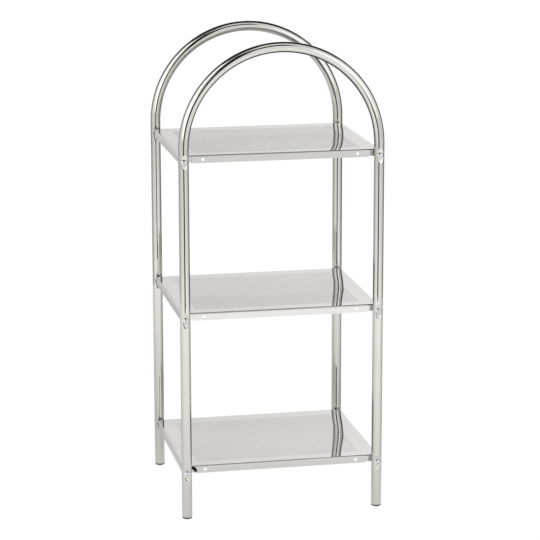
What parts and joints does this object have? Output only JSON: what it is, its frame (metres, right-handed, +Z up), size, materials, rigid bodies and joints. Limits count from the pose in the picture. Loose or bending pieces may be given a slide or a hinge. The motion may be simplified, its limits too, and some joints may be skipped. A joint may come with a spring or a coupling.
{
  "type": "bathroom_shelf",
  "caption": "Free-standing chrome bathroom etagere: perforated sheet shelves screwed between two bent tube arches, with dark plugs in the feet.",
  "frame": {"origin": "on the floor, below the middle of the footprint", "axes": "+Z up, X the width with + to the right seen from the front, the front faces -Y"},
  "size_m": [0.379, 0.355, 0.88],
  "materials": {
    "tube_chrome": "polished chrome plate",
    "shelf_chrome": "chrome plate, slightly soft reflections",
    "screw_chrome": "polished",
    "zinc_steel": "zinc plate",
    "black_plastic": "satin moulded",
    "cap_plastic": "satin moulded",
    "black_rubber": "matte"
  },
  "bodies": {
    "root": {"front_arch": "tube_chrome", "rear_arch": "tube_chrome", "bottom_shelf": "shelf_chrome", "middle_shelf": "shelf_chrome", "top_shelf": "shelf_chrome", "bottom_shelf_screws": "screw_chrome", "middle_shelf_screws": "screw_chrome", "top_shelf_screws": "screw_chrome", "bottom_shelf_nuts": "zinc_steel", "middle_shelf_nuts": "zinc_steel", "top_shelf_nuts": "zinc_steel", "bottom_shelf_spacers": "black_plastic", "middle_shelf_spacers": "black_plastic", "top_shelf_spacers": "black_plastic", "front_left_foot_cap": "cap_plastic", "front_right_foot_cap": "cap_plastic", "rear_left_foot_cap": "cap_plastic", "rear_right_foot_cap": "cap_plastic", "rubber_bumper": "black_rubber"}
  },
  "joints": []
}
